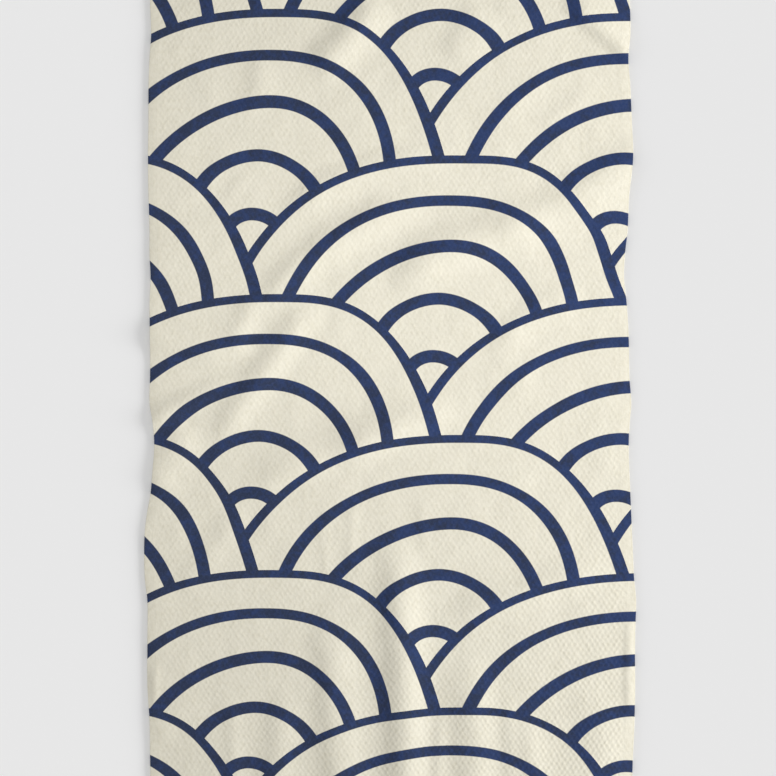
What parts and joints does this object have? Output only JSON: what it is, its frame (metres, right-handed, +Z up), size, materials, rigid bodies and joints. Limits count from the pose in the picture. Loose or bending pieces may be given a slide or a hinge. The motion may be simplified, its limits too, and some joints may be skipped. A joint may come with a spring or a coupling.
{
  "type": "tea towel",
  "caption": "Cotton tea towel lying open and lightly creased, waffle weave with narrow turned hems, for drying dishes.",
  "frame": {"origin": "centre of the towel's outline, at the level of the surface it lies on", "axes": "+X across the towel, +Y along its length towards the top of the picture, +Z up from the surface"},
  "size_m": [0.4656, 0.7616, 0.0065],
  "materials": {
    "cotton": "matt waffle-weave cotton"
  },
  "bodies": {
    "root": {"towel": "cotton"}
  },
  "joints": []
}
